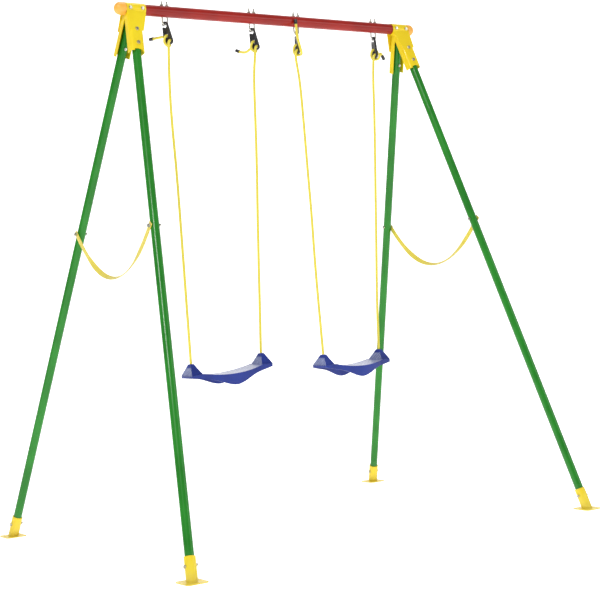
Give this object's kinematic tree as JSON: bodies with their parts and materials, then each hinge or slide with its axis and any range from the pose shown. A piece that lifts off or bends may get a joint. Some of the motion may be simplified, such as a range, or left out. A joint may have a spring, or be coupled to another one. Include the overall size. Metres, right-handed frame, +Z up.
{
  "type": "double swing set",
  "caption": "Freestanding double swing set: splayed tubular A-frames, a crossbar, two rope swings with moulded seats and rope adjusters.",
  "frame": {"origin": "on the ground, midway between the feet", "axes": "+X along the crossbar, towards the right-hand A-frame seen from the front; +Y from the front feet towards the rear feet; +Z up"},
  "size_m": [1.877, 1.417, 1.988],
  "materials": {
    "green_paint": "gloss enamel on steel tube",
    "red_paint": "satin enamel on steel tube",
    "yellow_paint": "satin enamel on pressed steel",
    "amber_plastic": "smooth moulded plastic, slightly translucent",
    "black_plastic": "satin moulded plastic",
    "blue_plastic": "blow-moulded plastic, ribbed texture",
    "yellow_rope": "braided polyethylene rope",
    "yellow_webbing": "woven webbing",
    "zinc": "bright zinc plate",
    "steel": "bright spring steel"
  },
  "bodies": {
    "frame": {"crossbar": "red_paint", "left_end_cap": "amber_plastic", "right_end_cap": "amber_plastic", "left_front_leg": "green_paint", "left_rear_leg": "green_paint", "right_front_leg": "green_paint", "right_rear_leg": "green_paint", "leg_plugs": "black_plastic", "left_front_bracket": "yellow_paint", "left_front_foot": "yellow_paint", "left_rear_bracket": "yellow_paint", "left_rear_foot": "yellow_paint", "right_front_bracket": "yellow_paint", "right_front_foot": "yellow_paint", "right_rear_bracket": "yellow_paint", "right_rear_foot": "yellow_paint", "crossbar_bolts": "zinc", "crossbar_nuts": "zinc", "leg_bolts": "zinc", "leg_nuts": "zinc", "foot_bolts": "zinc", "foot_nuts": "zinc", "strap_bolts": "zinc", "strap_nuts": "zinc", "strap_washers": "zinc", "u_bolt_nuts": "zinc", "u_bolt_washers": "zinc", "left_safety_strap": "yellow_webbing", "right_safety_strap": "yellow_webbing", "left_outer_u_bolt": "zinc", "left_inner_u_bolt": "zinc", "right_inner_u_bolt": "zinc", "right_outer_u_bolt": "zinc"},
    "left_swing": {"left_outer_rope": "yellow_rope", "left_outer_adjuster": "black_plastic", "left_outer_rope_cap": "black_plastic", "left_inner_rope": "yellow_rope", "left_inner_adjuster": "black_plastic", "left_inner_rope_cap": "black_plastic", "left_gate_pins": "steel"},
    "right_swing": {"right_inner_rope": "yellow_rope", "right_inner_adjuster": "black_plastic", "right_inner_rope_cap": "black_plastic", "right_outer_rope": "yellow_rope", "right_outer_adjuster": "black_plastic", "right_outer_rope_cap": "black_plastic", "right_gate_pins": "steel", "right_inner_rope_tail": "yellow_rope"},
    "left_seat": {"left_seat": "blue_plastic", "left_seat_knots": "yellow_rope"},
    "right_seat": {"right_seat": "blue_plastic", "right_seat_knots": "yellow_rope"},
    "left_outer_gate": {"left_outer_gate": "steel"},
    "left_inner_gate": {"left_inner_gate": "steel"},
    "right_inner_gate": {"right_inner_gate": "steel"},
    "right_outer_gate": {"right_outer_gate": "steel"}
  },
  "joints": [
    {"name": "left_swing_hinge", "type": "hinge", "parent": "frame", "child": "left_swing", "pos_m": [-0.29725, 0, 1.902], "axis": [1, 0, 0], "range_deg": [-60, 60]},
    {"name": "right_swing_hinge", "type": "hinge", "parent": "frame", "child": "right_swing", "pos_m": [0.29725, 0, 1.902], "axis": [1, 0, 0], "range_deg": [-60, 60], "deforming": ["right_inner_rope_tail", "right_inner_rope_cap"]},
    {"name": "left_seat_tilt", "type": "hinge", "parent": "left_swing", "child": "left_seat", "pos_m": [-0.297, 0, 0.659], "axis": [0.998, 0, 0.0628], "range_deg": [-20, 20]},
    {"name": "right_seat_tilt", "type": "hinge", "parent": "right_swing", "child": "right_seat", "pos_m": [0.297, 0, 0.644], "axis": [0.9912, 0.1323, 0], "range_deg": [-20, 20]},
    {"name": "left_outer_gate_spring", "type": "hinge", "parent": "left_swing", "child": "left_outer_gate", "pos_m": [-0.48857, -0.00498, 1.88725], "axis": [0.9613, 0.2756, 0], "range_deg": [0, 22], "stiffness_Nm_per_rad": 0.02},
    {"name": "left_inner_gate_spring", "type": "hinge", "parent": "left_swing", "child": "left_inner_gate", "pos_m": [-0.10329, -0.0045, 1.88708], "axis": [0.9659, 0.2588, 0], "range_deg": [0, 22], "stiffness_Nm_per_rad": 0.02},
    {"name": "right_inner_gate_spring", "type": "hinge", "parent": "right_swing", "child": "right_inner_gate", "pos_m": [0.1038, -0.00244, 1.88658], "axis": [0.9613, -0.2756, 0], "range_deg": [0, 22], "stiffness_Nm_per_rad": 0.02},
    {"name": "right_outer_gate_spring", "type": "hinge", "parent": "right_swing", "child": "right_outer_gate", "pos_m": [0.4893, -0.00327, 1.88673], "axis": [0.9781, -0.2079, 0], "range_deg": [0, 22], "stiffness_Nm_per_rad": 0.02}
  ]
}
